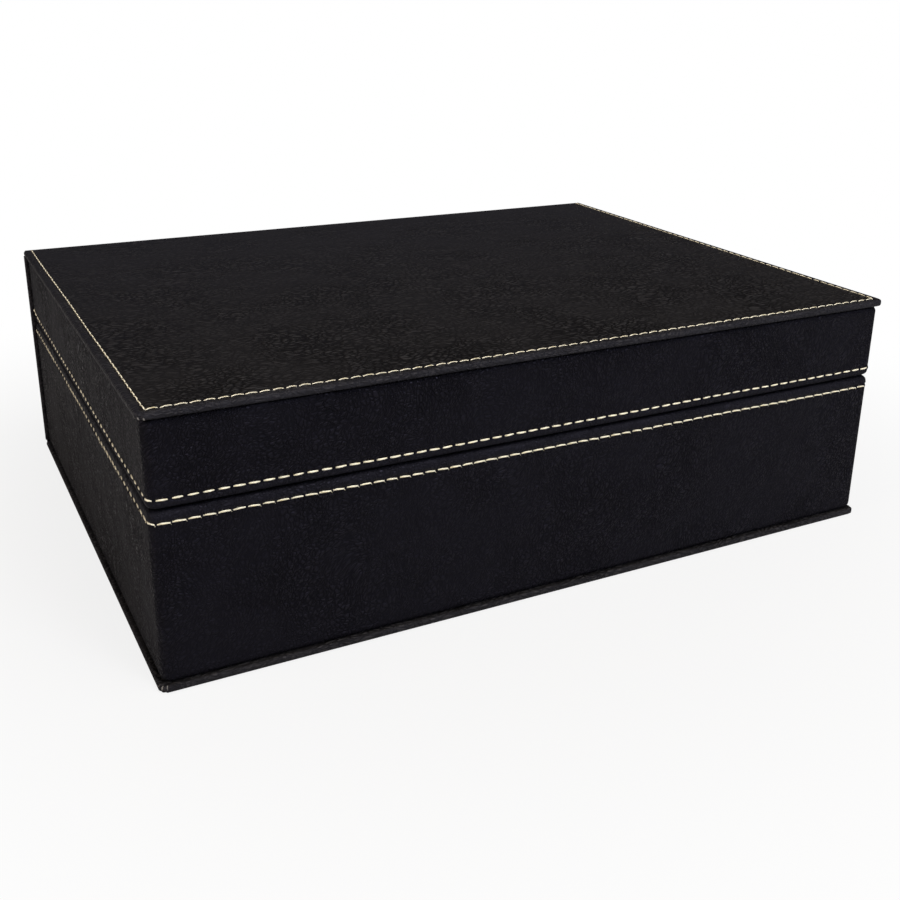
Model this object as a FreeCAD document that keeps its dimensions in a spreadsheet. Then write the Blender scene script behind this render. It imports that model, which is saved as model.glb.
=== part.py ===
import FreeCAD, Part
import os
import Sketcher

# Leatherette gift box, in millimetres: a book-style case of three covered boards that fold at two
# creases behind, with a covered tray glued to the bottom board and another to the top board.
# X runs along the front, Y from front to back, Z up, with the origin under the middle of the box.

doc = FreeCAD.newDocument("gift_box")

# Driving sizes
SIZES = (
    ("case_length", "298", "left to right over the boards"),
    ("case_depth", "229", "front edge of the boards to the outer face of the spine"),
    ("case_height", "95.4", "underside of the bottom cover to the top of the lid"),
    ("parting_height", "62.9", "where the rims of the two trays meet"),
    ("board_thickness", "1.6", "greyboard of the case"),
    ("skin", "0.4", "leatherette"),
    ("glue", "0.1", "glue line under whatever is stuck down"),
    ("overhang", "1.3", "boards past the trays at the front and the sides"),
    ("board_corner", "3.4", "free corners of the boards, in plan"),
    ("edge_round", "1.1", "rounding of a covered board's edges"),
    ("turn_in", "15", "leatherette folded over onto a board's inner face"),
    ("crease_gap", "0.3", "slack between a crease and the board that it lets fold"),
    ("tray_clearance", "0.8", "tray to spine"),
    ("wall", "4", "tray wall"),
    ("tray_corner", "3", "upright corners of a covered tray"),
    ("inner_round", "0.6", "upright corners inside a covered tray"),
    ("rim_round", "1.8", "rounding of a covered rim, inside and outside"),
    ("foot_round", "2.5", "rounding of a covered tray where it meets its board"),
    ("rim_gap", "0.3", "between the two rims when shut"),
    ("rim_turn", "16", "leatherette folded over the rim and down inside"),
    ("floor_board", "1.8", "card floor of a tray"),
    ("seam_width", "1.2", "channel that a row of stitches lies in"),
    ("seam_depth", "0.2", "depth of that channel"),
    ("base_seam", "4.1", "seam below the rim of the base"),
    ("lid_seam", "3.4", "seam above the rim of the lid"),
    ("top_seam", "4", "seam in from the edges of the top board"),
    ("lining", "1.2", "satin-covered card on the walls inside"),
    ("lining_drop", "6", "top edge of the lining below the rim"),
    ("lining_round", "0.4", "rounding of the lining's free edges"),
    ("base_pad", "10", "padded floor of the base, at its crown"),
    ("lid_pad", "7", "padded panel inside the lid, at its crown"),
    ("crown", "2", "rise of a pad from its edges to its middle"),
    ("pad_round", "3", "rounding of a pad's upper edges"),
    ("pad_corner", "4", "corners of a pad, in plan"),
    ("pad_gap", "0.4", "pad to lining"),
    ("satin", "0.3", "satin with its backing"),
    ("magnet_length", "20", "bar magnet, along the front wall"),
    ("magnet_width", "2", "bar magnet, through the wall"),
    ("magnet_height", "4", "bar magnet, upright"),
    ("magnet_cover", "1.6", "magnet below the top of its wall"),
    ("magnet_spread", "160", "between the middles of the two magnets"),
    ("magnet_fit", "0.1", "clearance round a magnet in its slot"),
)

# Sizes that follow from those
FITS = (
    ("lap", "=Sizes.skin + Sizes.glue"),
    ("cover", "=Sizes.board_thickness + 2 * lap"),
    ("crease", "=cover + Sizes.crease_gap"),
    ("case_x", "=Sizes.case_length / 2"),
    ("case_y", "=Sizes.case_depth / 2"),
    ("cover_back", "=case_y - crease - Sizes.crease_gap"),
    ("edge", "=min(Sizes.edge_round; 0.45 * cover)"),
    ("plan_corner", "=max(Sizes.board_corner; edge + lap)"),
    ("spine_height", "=Sizes.case_height - 2 * crease"),
    ("spine_y", "=case_y - cover / 2"),
    ("hem", "=Sizes.wall + 2 * lap"),
    ("tray_x", "=case_x - Sizes.overhang"),
    ("tray_y", "=(Sizes.case_depth - Sizes.overhang - cover - Sizes.tray_clearance) / 2"),
    ("tray_middle", "=Sizes.overhang + tray_y - case_y"),
    ("corner", "=min(Sizes.tray_corner; hem - lap)"),
    ("rim", "=min(Sizes.rim_round; 0.45 * hem)"),
    ("foot", "=min(Sizes.foot_round; 0.8 * hem)"),
    ("base_tray", "=Sizes.parting_height - Sizes.rim_gap / 2 - cover"),
    ("lid_tray", "=Sizes.case_height - Sizes.parting_height - Sizes.rim_gap / 2 - cover"),
    ("room_x", "=tray_x - hem"),
    ("room_y", "=tray_y - hem"),
    ("floor_top", "=Sizes.glue + Sizes.floor_board"),
    ("panel", "=Sizes.lining + Sizes.glue"),
    ("panel_back", "=max(Sizes.glue; Sizes.inner_round)"),
    ("panel_low", "=floor_top + Sizes.glue"),
    ("nest_x", "=room_x - panel - Sizes.pad_gap"),
    ("nest_y", "=room_y - panel - Sizes.pad_gap"),
    ("crown_radius", "=nest_y * nest_y / (2 * Sizes.crown) + Sizes.crown / 2"),
    ("pad_skin", "=Sizes.satin + Sizes.glue"),
    ("magnet_x", "=Sizes.magnet_spread / 2"),
    ("wall_middle", "=tray_y - lap - Sizes.wall / 2"),
)

sizes = doc.addObject("Spreadsheet::Sheet", "Sizes")
for row, (alias, number, meaning) in enumerate(SIZES, start=1):
    sizes.set("A%d" % row, alias)
    sizes.set("B%d" % row, number)
    sizes.set("C%d" % row, meaning)
    sizes.setAlias("B%d" % row, alias)
doc.recompute()

fits = doc.addObject("Spreadsheet::Sheet", "Fits")
for row, (alias, formula) in enumerate(FITS, start=1):
    fits.set("A%d" % row, alias)
    fits.setAlias("B%d" % row, alias)
    fits.set("B%d" % row, formula)
doc.recompute()

parts = []
PAST = 5.0   # how far a cut runs past the solid that it trims
NEAR = 0.01   # two places closer than this are one place
START, END, CENTRE = range(1, 4)   # the points of a line or an arc in a sketch
ORIGIN = (-1, START)   # the point that places in a sketch are measured from


def value(expression):
    return float(sizes.evalExpression(expression))


def new_body(name):
    return doc.addObject("PartDesign::Body", name)


def finish_part(thing, label, turn=None, x="0", y="0", z="0"):
    """Name a sub-part, put it in its place and keep it for the files."""
    thing.Label = label
    if turn:
        axis, angle = turn
        thing.Placement = FreeCAD.Placement(FreeCAD.Vector(), FreeCAD.Rotation(axis, angle))
    for letter, expression in (("x", x), ("y", y), ("z", z)):
        thing.setExpression("Placement.Base.%s" % letter, expression)
    parts.append(thing)
    return thing


def new_sketch(body, plane, shift="0"):
    """A sketch on one of the body's own planes, shifted along the plane's normal."""
    sketch = body.newObject("Sketcher::SketchObject", body.Name + "_sketch")
    support = [part for part in body.Origin.OriginFeatures if part.Role == plane]
    sketch.AttachmentSupport = [(support[0], "")]
    sketch.MapMode = "FlatFace"
    sketch.setExpression("AttachmentOffset.Base.z", shift)
    return sketch


def outline(sketch, points):
    """A closed polygon whose corners are given as expressions."""
    first = sketch.GeometryCount
    spots = [FreeCAD.Vector(value(x), value(y), 0) for x, y in points]
    for start, end in zip(spots, spots[1:] + spots[:1]):
        sketch.addGeometry(Part.LineSegment(start, end))
    for index, (x, y) in enumerate(points):
        follower = first + (index + 1) % len(points)
        sketch.addConstraint(Sketcher.Constraint("Coincident", first + index, END, follower, START))
        for kind, expression in (("DistanceX", x), ("DistanceY", y)):
            constraint = Sketcher.Constraint(kind, *ORIGIN, first + index, START, value(expression))
            sketch.setExpression("Constraints[%d]" % sketch.addConstraint(constraint), expression)


def rectangle(sketch, left, right, front, back):
    outline(sketch, [(left, front), (right, front), (right, back), (left, back)])


def centred(sketch, half_x, half_y):
    rectangle(sketch, "-(%s)" % half_x, half_x, "-(%s)" % half_y, half_y)


def pad(body, sketch, length):
    feature = body.newObject("PartDesign::Pad", body.Name + "_pad")
    feature.Profile = sketch
    feature.setExpression("Length", length)
    doc.recompute()
    return feature


def pocket(body, sketch, length, upward=True):
    """Cut the sketch away for a length along its normal, and make sure that something was cut."""
    before = body.Shape.Volume
    feature = body.newObject("PartDesign::Pocket", body.Name + "_pocket")
    feature.Profile = sketch
    feature.Reversed = upward
    feature.setExpression("Length", length)
    doc.recompute()
    if not feature.Shape.Volume < before:
        raise RuntimeError(body.Name + ": the pocket cuts nothing")
    return feature


def fillet(body, test, size, chamfered=False):
    """Round, or chamfer, the edges of the body's last feature whose box passes the test."""
    base = body.Tip
    names = []
    for index, edge in enumerate(base.Shape.Edges, start=1):
        if test(edge.BoundBox):
            names.append("Edge%d" % index)
    kind, reach = ("Chamfer", "Size") if chamfered else ("Fillet", "Radius")
    feature = body.newObject("PartDesign::" + kind, body.Name + "_edges")
    feature.Base = (base, names)
    feature.setExpression(reach, size)
    doc.recompute()
    return feature


def upright(box):
    return box.ZLength > NEAR and box.XLength < NEAR and box.YLength < NEAR


def level(box, height):
    return abs(box.ZMin - height) < NEAR and abs(box.ZMax - height) < NEAR


def cut(label, base, tool):
    """A shell: one solid with another taken out of it."""
    shell = doc.addObject("Part::Cut", label)
    shell.Base = base
    shell.Tool = tool
    doc.recompute()
    return shell


# Case boards: a slab with its outer face down, front and side edges rounded, square at the back

def slab(name, inset, back, hidden=True):
    """The covered board's form, drawn in by an inset at the faces and at the three free edges.
    Edges that show are rounded, and edges under the leatherette are chamfered inside that round."""
    body = new_body(name)
    sketch = new_sketch(body, "XY_Plane", inset)
    half = "Fits.case_x - %s" % inset
    front = "-Fits.case_y + %s" % inset
    rectangle(sketch, "-(%s)" % half, half, front, back)
    pad(body, sketch, "Fits.cover - 2 * %s" % inset)
    fillet(body, lambda box: upright(box) and box.YMin < 0, "Fits.plan_corner - %s" % inset)
    low = value(inset)
    high = value("Fits.cover - %s" % inset)
    rear = value(back)

    def free_edge(box):
        across = abs(box.YMin - rear) < NEAR and box.YLength < NEAR
        return (level(box, low) or level(box, high)) and not across

    fillet(body, free_edge, "Fits.edge - %s" % inset, hidden)
    return body


def window(body):
    """Open the inner face between the turn-ins."""
    half = "Fits.case_x - Sizes.turn_in"
    sketch = new_sketch(body, "XY_Plane", "Fits.cover - Fits.lap")
    rectangle(sketch, "-(%s)" % half, half, "-Fits.case_y + Sizes.turn_in", "Fits.cover_back + %g" % PAST)
    pad(body, sketch, "Fits.lap + %g" % PAST)


def stitch_channel(body):
    """The channel for the stitches on the outer face: left, front and right, and out at the back."""
    sketch = new_sketch(body, "XY_Plane")
    for edge in ("Sizes.top_seam - Sizes.seam_width / 2", "Sizes.top_seam + Sizes.seam_width / 2"):
        half = "Fits.case_x - (%s)" % edge
        back = "Fits.cover_back + %g - (%s)" % (2 * PAST, edge)
        rectangle(sketch, "-(%s)" % half, half, "-Fits.case_y + %s" % edge, back)
    pocket(body, sketch, "Sizes.seam_depth")


def case_side(prefix, turn, z, stitched):
    """One board of the case with its leatherette: outer face, edges and turn-ins."""
    outside = slab(prefix + "_outside", "0", "Fits.cover_back", hidden=False)
    if stitched:
        stitch_channel(outside)
    inside = slab(prefix + "_inside", "Sizes.skin", "Fits.cover_back + %g" % PAST)
    window(inside)
    finish_part(cut(prefix + "_cover", outside, inside), prefix + "_cover", turn, z=z)
    board = slab(prefix + "_core", "Fits.lap", "Fits.cover_back")
    finish_part(board, prefix + "_board", turn, z=z)


# Spine: a covered board standing at the back, open at its two creases

def spine_slab(name, inset, low, height):
    body = new_body(name)
    sketch = new_sketch(body, "XY_Plane", low)
    centred(sketch, "Fits.case_x - %s" % inset, "Fits.cover / 2 - %s" % inset)
    pad(body, sketch, height)
    fillet(body, upright, "Fits.edge - %s" % inset)
    return body


def spine():
    place = {"y": "Fits.spine_y", "z": "Fits.crease"}
    outside = spine_slab("spine_outside", "0", "0", "Fits.spine_height")
    inside = spine_slab("spine_inside", "Sizes.skin", "-%g" % PAST, "Fits.spine_height + %g" % (2 * PAST))
    sketch = new_sketch(inside, "XY_Plane", "-%g" % PAST)
    half = "Fits.case_x - Sizes.turn_in"
    rectangle(sketch, "-(%s)" % half, half, "-Fits.cover / 2 - %g" % PAST, "0")
    pad(inside, sketch, "Fits.spine_height + %g" % (2 * PAST))
    finish_part(cut("spine_cover", outside, inside), "spine_cover", **place)

    finish_part(spine_slab("spine_core", "Fits.lap", "0", "Fits.spine_height"), "spine_board", **place)

    lining = new_body("spine_paper")
    sketch = new_sketch(lining, "XY_Plane")
    half = "Fits.case_x - Sizes.turn_in - Sizes.glue"
    rectangle(sketch, "-(%s)" % half, half, "-Fits.cover / 2", "-Fits.cover / 2 + Sizes.skin")
    pad(lining, sketch, "Fits.spine_height")
    finish_part(lining, "spine_lining", **place)


def crease(label, turn, z):
    """The bare leatherette that folds: a quarter round along the whole back edge."""
    quarter = doc.addObject("Part::Cylinder", label + "_outside")
    quarter.Angle = 90
    quarter.setExpression("Radius", "Fits.crease")
    hollow = doc.addObject("Part::Cylinder", label + "_inside")
    hollow.setExpression("Radius", "Fits.crease - Sizes.skin")
    for cylinder in (quarter, hollow):
        cylinder.setExpression("Height", "Sizes.case_length")
    strip = cut(label, quarter, hollow)
    finish_part(strip, label, turn, x="-Fits.case_x", y="Fits.case_y - Fits.crease", z=z)


# Trays: four mitred walls in a wrap of leatherette, with a floor, linings and a pad, rim upwards

def ring(name, inset, height, hidden=True):
    """The covered wall's form all the way round, drawn in by an inset on every side.
    What lies under the leatherette has chamfers where the leatherette is rounded."""
    body = new_body(name)
    sketch = new_sketch(body, "XY_Plane", inset)
    centred(sketch, "Fits.tray_x - %s" % inset, "Fits.tray_y - %s" % inset)
    centred(sketch, "Fits.room_x + %s" % inset, "Fits.room_y + %s" % inset)
    pad(body, sketch, "%s - 2 * %s" % (height, inset))
    middle_x = value("Fits.tray_x - Fits.hem / 2")
    middle_y = value("Fits.tray_y - Fits.hem / 2")
    low = value(inset)
    high = value("%s - %s" % (height, inset))

    def outer(box):
        reach_x = max(abs(box.XMin), abs(box.XMax))
        reach_y = max(abs(box.YMin), abs(box.YMax))
        return reach_x > middle_x or reach_y > middle_y

    fillet(body, lambda box: upright(box) and outer(box), "Fits.corner - %s" % inset, hidden)
    fillet(body, lambda box: upright(box) and not outer(box), "Sizes.inner_round + %s" % inset)
    fillet(body, lambda box: level(box, high), "Fits.rim - %s" % inset, hidden)
    fillet(body, lambda box: level(box, low) and outer(box), "Fits.foot - %s" % inset, hidden)
    return body


def wrap(prefix, height, seam):
    """Leatherette round the walls: under the foot, up the outside, over the rim and down inside."""
    outside = ring(prefix + "_wrap_outside", "0", height, hidden=False)
    inside = ring(prefix + "_wrap_inside", "Sizes.skin", height)
    sketch = new_sketch(inside, "XY_Plane", "Sizes.skin")
    centred(sketch, "Fits.room_x + Fits.hem / 2", "Fits.room_y + Fits.hem / 2")
    centred(sketch, "Fits.room_x - %g" % PAST, "Fits.room_y - %g" % PAST)
    pad(inside, sketch, "%s - Sizes.rim_turn - Sizes.skin" % height)

    collar = new_body(prefix + "_seam")
    sketch = new_sketch(collar, "XY_Plane", "%s - %s - Sizes.seam_width / 2" % (height, seam))
    centred(sketch, "Fits.tray_x + %g" % PAST, "Fits.tray_y + %g" % PAST)
    centred(sketch, "Fits.tray_x - Sizes.seam_depth", "Fits.tray_y - Sizes.seam_depth")
    pad(collar, sketch, "Sizes.seam_width")
    reach = value("Fits.tray_x")
    fillet(collar, lambda box: upright(box) and abs(box.XMin) < reach, "Fits.corner - Sizes.seam_depth")
    return cut(prefix + "_wrap", cut(prefix + "_plain_wrap", outside, inside), collar)


def rest_of_ring(sketch, across, sign):
    """The three other sides of a tray, up to the mitres of one side."""
    near, far = ("Fits.tray_y", "Fits.tray_x") if across else ("Fits.tray_x", "Fits.tray_y")
    front = "%d * (%s + %g)" % (sign, near, PAST)
    back = "%d * (%s + %g)" % (-sign, near, PAST)
    end = "(%s + %g)" % (far, PAST)
    tip = "%d * (%s - %s)" % (sign, near, far)
    points = [("-" + end, front), ("0", tip), (end, front), (end, back), ("-" + end, back)]
    outline(sketch, points if across else [(y, x) for x, y in points])


def wall(name, height, across, sign):
    body = ring(name, "Fits.lap", height)
    sketch = new_sketch(body, "XY_Plane")
    rest_of_ring(sketch, across, sign)
    pocket(body, sketch, height)
    return body


def magnet_pair(sketch, clearance):
    """Plan of the two magnets in the front wall, with a clearance all round."""
    half = "Sizes.magnet_length / 2 + %s" % clearance
    width = "Sizes.magnet_width / 2 + %s" % clearance
    for middle in ("-Fits.magnet_x", "Fits.magnet_x"):
        left = "%s - (%s)" % (middle, half)
        right = "%s + (%s)" % (middle, half)
        rectangle(sketch, left, right, "-Fits.wall_middle - (%s)" % width, "-Fits.wall_middle + %s" % width)


def magnets(name, height, front_wall):
    """Two bar magnets, and the slots in the front wall that hold them."""
    low = "%s - Fits.lap - Sizes.magnet_cover - Sizes.magnet_height" % height
    sketch = new_sketch(front_wall, "XY_Plane", low + " - Sizes.magnet_fit")
    magnet_pair(sketch, "Sizes.magnet_fit")
    pocket(front_wall, sketch, height)
    body = new_body(name)
    sketch = new_sketch(body, "XY_Plane", low)
    magnet_pair(sketch, "0")
    pad(body, sketch, "Sizes.magnet_height")
    return body


def lining(name, height, across, sign):
    """A satin-covered card on the inside of one wall, standing on the floor of the tray."""
    body = new_body(name)
    sketch = new_sketch(body, "XY_Plane", "Fits.panel_low")
    room, end = ("Fits.room_y", "Fits.room_x - Fits.panel_back")
    if not across:
        room, end = ("Fits.room_x", "Fits.room_y - Fits.panel - Sizes.glue")
    low = "%d * (%s - Sizes.glue)" % (sign, room)
    high = "%d * (%s - Fits.panel)" % (sign, room)
    if across:
        rectangle(sketch, "-(%s)" % end, end, low, high)
    else:
        rectangle(sketch, low, high, "-(%s)" % end, end)
    pad(body, sketch, "%s - Sizes.lining_drop - Fits.panel_low" % height)
    top = value("%s - Sizes.lining_drop" % height)
    fillet(body, lambda box: level(box, top), "min(Sizes.lining_round; 0.45 * Sizes.lining)")
    return body


def cushion(name, inset, bottom, thickness, hidden=True):
    """A pad with an arched top and soft edges, drawn in by an inset above and at the sides."""
    body = new_body(name)
    half_x = "Fits.nest_x - %s" % inset
    half_y = "Fits.nest_y - %s" % inset
    centre = "Fits.panel_low + %s - Fits.crown_radius" % thickness
    radius = "Fits.crown_radius - %s" % inset
    side = "%s + sqrt((%s)^2 - (%s)^2)" % (centre, radius, half_y)
    sketch = new_sketch(body, "YZ_Plane", "-(%s)" % half_x)
    edge, base, shoulder = value(half_y), value(bottom), value(side)
    spots = [(-edge, shoulder), (-edge, base), (edge, base), (edge, shoulder)]
    spots = [FreeCAD.Vector(x, y, 0) for x, y in spots]
    for start, end in zip(spots, spots[1:]):
        sketch.addGeometry(Part.LineSegment(start, end))
    crown = FreeCAD.Vector(0, value(centre) + value(radius), 0)
    sketch.addGeometry(Part.Arc(spots[3], crown, spots[0]))
    left, floor, right, arch = range(4)
    for line, follower in ((left, floor), (floor, right), (right, arch), (arch, left)):
        sketch.addConstraint(Sketcher.Constraint("Coincident", line, END, follower, START))
    for line, direction in ((left, "Vertical"), (floor, "Horizontal"), (right, "Vertical")):
        sketch.addConstraint(Sketcher.Constraint(direction, line))
    places = (
        ("DistanceX", floor, START, "-(%s)" % half_y),
        ("DistanceY", floor, START, bottom),
        ("DistanceX", floor, END, half_y),
        ("DistanceX", arch, CENTRE, "0"),
        ("DistanceY", arch, CENTRE, centre),
    )
    for kind, line, point, expression in places:
        constraint = Sketcher.Constraint(kind, *ORIGIN, line, point, value(expression))
        sketch.setExpression("Constraints[%d]" % sketch.addConstraint(constraint), expression)
    constraint = Sketcher.Constraint("Radius", arch, value(radius))
    sketch.setExpression("Constraints[%d]" % sketch.addConstraint(constraint), radius)
    pad(body, sketch, "2 * (%s)" % half_x)
    fillet(body, upright, "Sizes.pad_corner - %s" % inset)
    fillet(body, lambda box: box.ZMin > (base + shoulder) / 2, "Sizes.pad_round - %s" % inset, hidden)
    return body


def tray(prefix, turn, z, seam, floor):
    """Every piece of one tray; a tray that is turned over has its left and right changed round."""
    height = "Fits.%s_tray" % prefix
    thickness = "Sizes.%s_pad" % prefix
    place = {"turn": turn, "y": "Fits.tray_middle", "z": z}
    finish_part(wrap(prefix, height, seam), prefix + "_wrap", **place)

    left = 1 if turn else -1
    sides = (("front", True, -1), ("rear", True, 1), ("left", False, left), ("right", False, -left))
    for side, across, sign in sides:
        board = wall("%s_%s_board" % (prefix, side), height, across, sign)
        if side == "front":
            bars = magnets(prefix + "_bars", height, board)
            finish_part(bars, prefix + "_magnets", **place)
        finish_part(board, "%s_%s_wall" % (prefix, side), **place)
        card = lining("%s_%s_card" % (prefix, side), height, across, sign)
        finish_part(card, "%s_%s_lining" % (prefix, side), **place)

    bottom = new_body(prefix + "_floor_card")
    sketch = new_sketch(bottom, "XY_Plane", "Sizes.glue")
    centred(sketch, "Fits.room_x - Fits.panel_back", "Fits.room_y - Fits.panel_back")
    pad(bottom, sketch, "Sizes.floor_board")
    finish_part(bottom, floor, **place)

    outside = cushion(prefix + "_satin_outside", "0", "Fits.panel_low", thickness, hidden=False)
    below = "Fits.panel_low - %g" % PAST
    inside = cushion(prefix + "_satin_inside", "Sizes.satin", below, thickness)
    finish_part(cut(prefix + "_satin", outside, inside), prefix + "_pad_satin", **place)
    foam = cushion(prefix + "_foam", "Fits.pad_skin", "Fits.panel_low", thickness)
    finish_part(foam, prefix + "_pad_foam", **place)


# The whole box
ACROSS = FreeCAD.Vector(0, 1, 0)
OVER = (ACROSS, 180)
LOWER_QUARTER = (ACROSS, 90)
UPPER_QUARTER = (FreeCAD.Vector(1, 1, 1), 120)

case_side("bottom", None, "0", stitched=False)
tray("base", None, "Fits.cover", "Sizes.base_seam", "base_floor")
spine()
crease("lower_crease", LOWER_QUARTER, "Fits.crease")
crease("upper_crease", UPPER_QUARTER, "Sizes.case_height - Fits.crease")
case_side("top", OVER, "Sizes.case_height", stitched=True)
tray("lid", OVER, "Sizes.case_height - Fits.cover", "Sizes.lid_seam", "lid_ceiling")
doc.recompute()

# Check everything before any file is written
for thing in doc.Objects:
    if "Invalid" in thing.State or "Error" in thing.State:
        raise RuntimeError(thing.Name + " did not compute")
for part in parts:
    if part.Shape.isNull() or not part.Shape.isValid() or not part.Shape.Solids:
        raise RuntimeError(part.Label + " has no sound solid")

os.makedirs("parts", exist_ok=True)
for part in parts:
    part.Shape.exportStep("parts/%s.step" % part.Label)
    print("%-20s %d solid, %.1f mm3" % (part.Label, len(part.Shape.Solids), part.Shape.Volume))
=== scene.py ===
import math
import random

import bmesh
import bpy
from bpy.props import FloatProperty, FloatVectorProperty, IntProperty, PointerProperty
from mathutils import Matrix, Vector, noise


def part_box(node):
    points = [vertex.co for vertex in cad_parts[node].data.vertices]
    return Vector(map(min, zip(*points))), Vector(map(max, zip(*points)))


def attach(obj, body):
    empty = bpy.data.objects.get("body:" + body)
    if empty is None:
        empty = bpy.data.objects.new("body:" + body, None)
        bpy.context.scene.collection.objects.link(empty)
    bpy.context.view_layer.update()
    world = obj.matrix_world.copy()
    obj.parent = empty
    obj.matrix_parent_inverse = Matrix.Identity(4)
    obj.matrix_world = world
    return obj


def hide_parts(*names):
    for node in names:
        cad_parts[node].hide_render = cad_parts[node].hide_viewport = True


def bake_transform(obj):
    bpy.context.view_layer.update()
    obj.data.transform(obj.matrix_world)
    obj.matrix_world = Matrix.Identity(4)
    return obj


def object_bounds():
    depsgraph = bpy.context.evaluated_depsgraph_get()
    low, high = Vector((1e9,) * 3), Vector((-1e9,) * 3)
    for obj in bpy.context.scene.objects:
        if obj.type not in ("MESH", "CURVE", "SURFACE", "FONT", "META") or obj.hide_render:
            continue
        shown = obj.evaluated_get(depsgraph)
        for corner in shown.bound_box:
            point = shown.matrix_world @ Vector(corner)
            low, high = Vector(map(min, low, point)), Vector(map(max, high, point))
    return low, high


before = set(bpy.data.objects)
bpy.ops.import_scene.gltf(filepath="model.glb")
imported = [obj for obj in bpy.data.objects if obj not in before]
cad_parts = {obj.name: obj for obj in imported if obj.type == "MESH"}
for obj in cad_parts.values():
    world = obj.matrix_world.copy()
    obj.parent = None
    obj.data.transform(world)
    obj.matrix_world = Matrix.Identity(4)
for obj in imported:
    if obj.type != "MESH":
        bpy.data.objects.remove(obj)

bl_info = {
    "name": "Leatherette gift box",
    "version": (1, 0, 0),
    "blender": (4, 5, 0),
    "location": "3D View > Sidebar > Gift Box",
    "description": "Covers, stitches, lines and lights a book-style gift box on its packed frame",
    "category": "Add Mesh",
}

CAD_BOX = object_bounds()
X, Y, Z = range(3)
SIDES = ("front", "rear", "left", "right")
NEAR = 1e-5  # two places closer than this are one place
UPRIGHT = 0.1  # a face whose normal rises less than this is upright
SMOOTH = math.radians(50)  # edges that turn less than this are shaded smoothly
CHANNEL = (0, 0.55, 1, 0.55, 0)  # depth of a seam's channel from side to side, as shares
FIRST_STITCH = 0.3  # middle of a tray's first stitch, as a share of the pitch
GRAIN_DEPTH = 0.0004  # from the crowns of the grain to its creases
BOARD_GRAIN = 1.4  # drawn coarser on the boards, where at a low angle it is too fine to show


def colour(text):
    """An sRGB hex value as linear red, green, blue and alpha."""
    channels = [int(text[at:at + 2], 16) / 255 for at in (0, 2, 4)]
    return [c / 12.92 if c <= 0.04045 else ((c + 0.055) / 1.055) ** 2.4 for c in channels] + [1.0]


def length(name, description, millimetres):
    return FloatProperty(
        name=name, description=description, default=millimetres / 1000, unit="LENGTH", precision=5)


def tint(name, description, text):
    return FloatVectorProperty(
        name=name, description=description, default=colour(text), size=4, subtype="COLOR", min=0, max=1)


class GiftBoxLeatherette(bpy.types.PropertyGroup):
    skin: length("Skin", "Thickness of the leatherette", 0.4)
    nose: length("Nose", "Rounding of a covered board's edges", 1.1)
    board_corner: length("Board corner", "Free corners of the boards, in plan", 3.4)
    turn_in: length("Turn-in", "Leatherette folded over onto a board's inner face", 15.0)
    tray_corner: length("Tray corner", "Upright corners of the trays", 3.0)
    hem: length("Hem", "Covered tray wall, from face to face", 5.0)
    rim_round: length("Rim", "Rounding of the trays' rims", 1.8)
    foot_round: length("Foot", "Rounding of a tray where it meets its board", 2.5)
    rim_turn: length("Rim turn", "Leatherette folded over the rim and down inside", 16.0)
    grain_width: length("Grain width", "Across the wrinkles of the grain", 1.15)
    grain_length: length("Grain length", "Along the wrinkles of the grain", 2.2)
    swirl: length("Swirl", "Distance over which the wrinkles change direction", 25.0)
    # Painted light: one leatherette in two copies, the trays' crowns a darker blue black and the boards' a
    # lighter warm black, as light falls more on the top than on the front.
    black: tint("Black", "Crowns of the grain on the trays", "16151b")
    board_black_painted_lighter: tint("Black of the boards", "Crowns of the grain on the boards", "353333")
    # Painted reflection tint: the same leatherette reflects cool on the trays and warm on the boards,
    # following the light on the front and on the top.
    sheen: tint("Sheen", "Light off the lacquer of the trays", "e8e2ff")
    board_sheen: tint("Sheen of the boards", "Light off the lacquer of the boards", "fff5f0")
    # Painted shade: the creases of the grain are painted near black, below the crowns.
    crease: tint("Crease", "Leatherette down in its grain", "040406")
    # Painted highlight: leatherette drawn tight over noses, hems and creases is painted greyer, where light
    # catches those edges.
    tight_highlight: tint("Stretched", "Leatherette drawn tight over an edge", "26262c")
    scuff: tint("Scuff", "Backing that shows where a corner is worn", "8f8b86")


class GiftBoxThread(bpy.types.PropertyGroup):
    thickness: length("Thread", "Diameter of the thread", 0.7)
    channel_width: length("Channel width", "Dip that a row of stitches draws in", 2.2)
    channel_depth: length("Channel depth", "How far the stitches draw the leatherette in", 0.34)
    base_bridge: length("Base bridge", "Leatherette left standing between stitches of the base", 0.9)
    lid_bridge: length("Lid bridge", "Leatherette left standing between stitches of the lid", 1.1)
    base_seam: length("Base seam", "Row below the rim of the base", 4.1)
    lid_seam: length("Lid seam", "Row above the rim of the lid", 3.4)
    top_seam: length("Top seam", "Row in from the edges of the top", 3.3)
    base_count: IntProperty(name="Base stitches", description="Stitches round the base", default=220)
    lid_count: IntProperty(name="Lid stitches", description="Stitches round the lid", default=216)
    top_pitch: length("Top pitch", "Stitch to stitch along the top", 4.26)
    climb: length("Climb", "Rise of the lid's row at the left end of its rear", 2.2)
    cream: tint("Cream", "Crown of the thread", "fff6d8")
    # Painted shade: the lines between the plies are painted a darker gold than the crowns.
    shade: tint("Shade", "Between the plies of the thread", "dcc582")


class GiftBoxSatin(bpy.types.PropertyGroup):
    voxel: length("Voxel", "Mesh size of a pad while it is blown up", 4.0)
    pucker: length("Pucker", "Height of the gathers along a pad's edges", 0.35)
    pressure: FloatProperty(name="Pressure", description="Foam pushing the satin out", default=4.0)
    black: tint("Black", "Satin seen along its sheen", "1a191c")
    sheen: tint("Sheen", "Satin seen across its sheen", "343238")


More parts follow.
